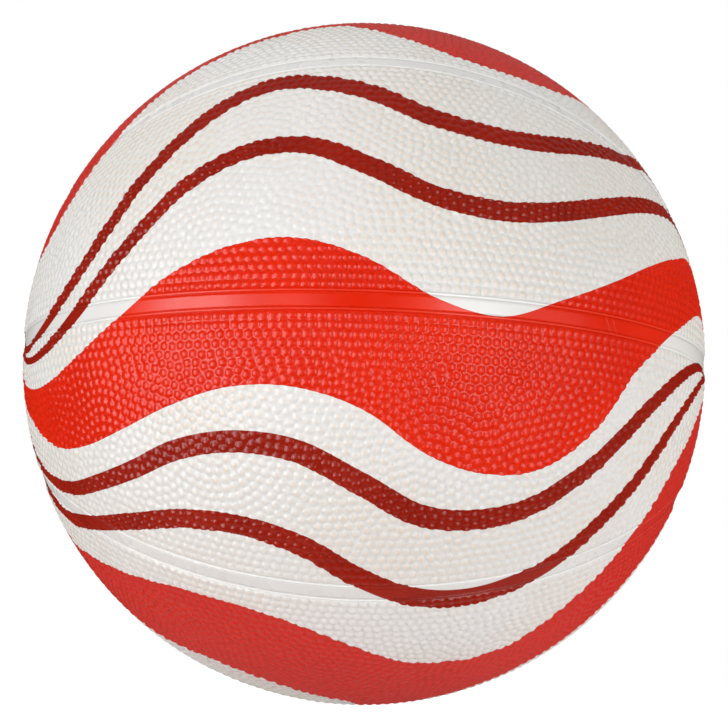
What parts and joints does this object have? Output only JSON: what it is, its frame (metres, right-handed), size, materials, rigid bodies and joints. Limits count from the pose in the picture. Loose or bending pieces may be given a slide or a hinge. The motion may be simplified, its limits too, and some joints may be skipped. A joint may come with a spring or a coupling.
{
  "type": "playground rubber ball",
  "caption": "Hollow inflatable rubber ball with a pebbled cover, smooth channel bands in a basketball layout, painted waves and a self-sealing needle valve.",
  "frame": {"origin": "centre of the ball", "axes": "+Z out through the inflating valve, the centre band lies in the XY plane and the cross band in the XZ plane, -Y is the front"},
  "size_m": [0.2158, 0.216, 0.2158],
  "materials": {
    "cover_paint": "gloss enamel over pebbled rubber, white with red and dark red waves",
    "band_white": "gloss enamel over smooth rubber, white with the same waves",
    "band_red": "gloss enamel over smooth rubber, mostly red",
    "carcass_rubber": "matt moulded rubber",
    "nylon_thread": "latex-dipped nylon thread",
    "butyl": "satin black butyl",
    "patch_rubber": "matt cured rubber",
    "valve_rubber": "satin black rubber",
    "core_rubber": "soft satin rubber"
  },
  "bodies": {
    "root": {"top_front_cap_panel": "cover_paint", "top_back_cap_panel": "cover_paint", "bottom_front_cap_panel": "cover_paint", "bottom_back_cap_panel": "cover_paint", "top_front_side_panel": "cover_paint", "top_back_side_panel": "cover_paint", "bottom_front_side_panel": "cover_paint", "bottom_back_side_panel": "cover_paint", "top_front_loop_band": "band_white", "top_back_loop_band": "band_white", "bottom_front_loop_band": "band_white", "bottom_back_loop_band": "band_white", "top_cross_band": "band_white", "bottom_cross_band": "band_white", "centre_band": "band_red", "carcass": "carcass_rubber", "thread_winding": "nylon_thread", "bladder": "butyl", "valve_patch": "patch_rubber", "valve_body": "valve_rubber", "valve_core": "core_rubber"}
  },
  "joints": []
}
